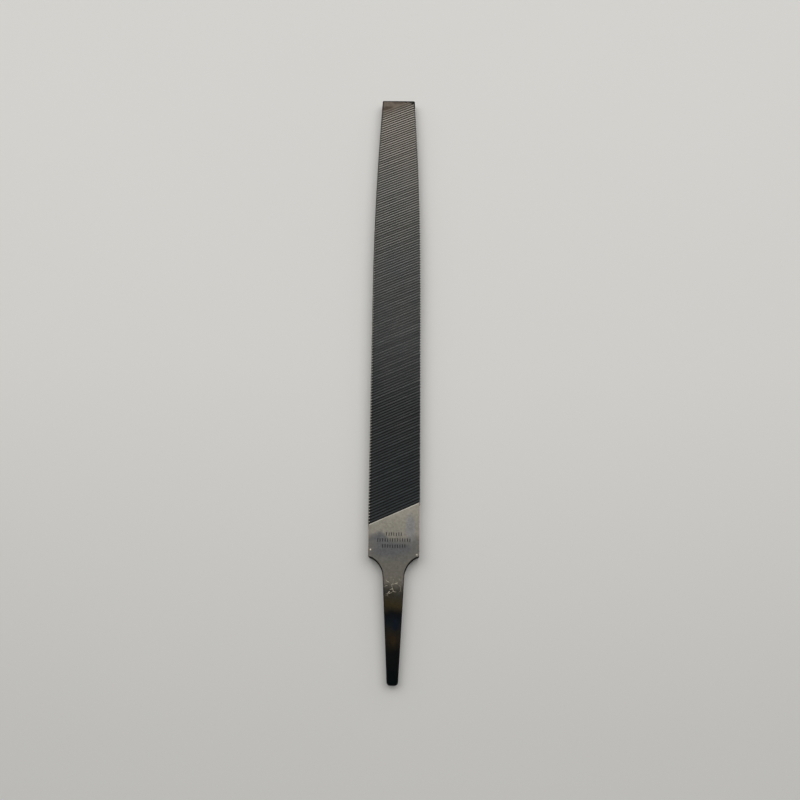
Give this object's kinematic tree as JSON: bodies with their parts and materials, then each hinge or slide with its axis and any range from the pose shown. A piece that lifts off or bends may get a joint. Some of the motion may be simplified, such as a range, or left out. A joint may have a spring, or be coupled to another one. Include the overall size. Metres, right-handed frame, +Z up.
{
  "type": "flat file",
  "caption": "Flat metalworking file with slanted single-cut teeth on its faces and edges, a smooth heel, curved shoulders and a bare tapered tang for a handle.",
  "frame": {"origin": "under the middle of the whole length and width, on the plane that the file lies on", "axes": "+Y along the file from the tang to the point, +Z up out of the upper face, +X to the right edge"},
  "size_m": [0.0254, 0.313, 0.006],
  "materials": {
    "file_steel": "hardened high-carbon steel with a grey oiled blade, a brighter ground heel and a dark forged tang"
  },
  "bodies": {
    "root": {"file": "file_steel"}
  },
  "joints": []
}
